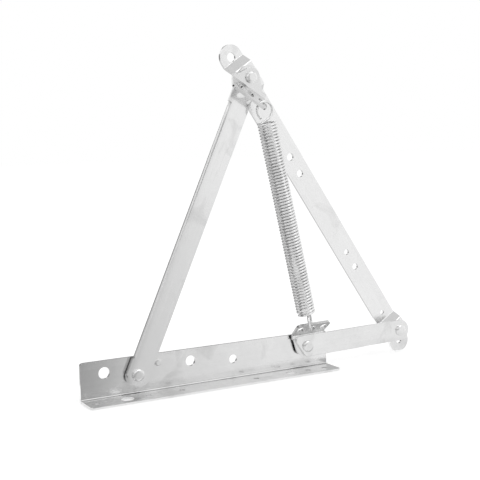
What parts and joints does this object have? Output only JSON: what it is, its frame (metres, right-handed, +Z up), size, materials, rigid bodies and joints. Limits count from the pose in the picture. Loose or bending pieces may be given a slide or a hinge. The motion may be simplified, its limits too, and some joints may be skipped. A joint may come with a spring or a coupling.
{
  "type": "sofa bed hinge",
  "caption": "Spring-assisted four-bar hinge for a sofa bed: drilled L-rail, two long pressed-steel arms, short link and a tension spring between hooked plates.",
  "frame": {"origin": "left end of the rail, at the front face of its upright flange and the underside of its foot", "axes": "+X along the rail to its right end, +Y away from the side that shows the rivet heads, +Z up from the foot"},
  "size_m": [0.3899, 0.0375, 0.3335],
  "materials": {
    "plate_zinc": "bright zinc plating, satin",
    "hook_plate": "bright zinc plating, satin",
    "rivet_steel": "bright zinc plating",
    "spring_wire": "drawn and zinc-plated wire"
  },
  "bodies": {
    "base": {"base_rail": "plate_zinc", "stop_stud": "rivet_steel", "rivet_a": "rivet_steel", "rivet_d": "rivet_steel", "washer_a": "rivet_steel", "spacer_d": "rivet_steel", "tail_washer_a": "rivet_steel", "tail_washer_d": "rivet_steel"},
    "left_arm": {"left_arm": "plate_zinc", "rivet_b": "rivet_steel", "washer_b": "rivet_steel", "tail_washer_b": "rivet_steel"},
    "right_arm": {"right_arm": "plate_zinc", "rivet_c_tail": "rivet_steel"},
    "link": {"bottom_link": "plate_zinc", "spring_anchor": "hook_plate", "rivet_c": "rivet_steel", "spacer_c": "rivet_steel"},
    "spring_bracket": {"spring_bracket": "hook_plate"},
    "spring": {"spring": "spring_wire"}
  },
  "joints": [
    {"name": "arm_swing", "type": "hinge", "parent": "base", "child": "left_arm", "pos_m": [0.0566, 0, 0.0204], "axis": [0, -1, 0], "range_deg": [0, 30]},
    {"name": "strap_fold", "type": "hinge", "parent": "left_arm", "child": "right_arm", "pos_m": [0.18335, 0, 0.30111], "axis": [0, -1, 0], "range_deg": [-9.81, 0]},
    {"name": "link_swing", "type": "hinge", "parent": "base", "child": "link", "pos_m": [0.246, 0, 0.0257], "axis": [0, -1, 0], "range_deg": [0, 65.75]},
    {"name": "bracket_turn", "type": "hinge", "parent": "left_arm", "child": "spring_bracket", "pos_m": [0.18335, 0, 0.30111], "axis": [0, -1, 0], "range_deg": [-9.59, 0]},
    {"name": "spring_stretch", "type": "slide", "parent": "spring_bracket", "child": "spring", "axis": [0.2328, 0, -0.9725], "range_m": [0, 0.09426], "deforming": ["spring"]}
  ],
  "couplings": [
    {"joint": "strap_fold", "follows": "arm_swing", "ratio": -0.31024},
    {"joint": "link_swing", "follows": "arm_swing", "ratio": 2.1749},
    {"joint": "bracket_turn", "follows": "arm_swing", "ratio": -0.30313},
    {"joint": "spring_stretch", "follows": "arm_swing", "m_per_rad": 0.17907}
  ]
}
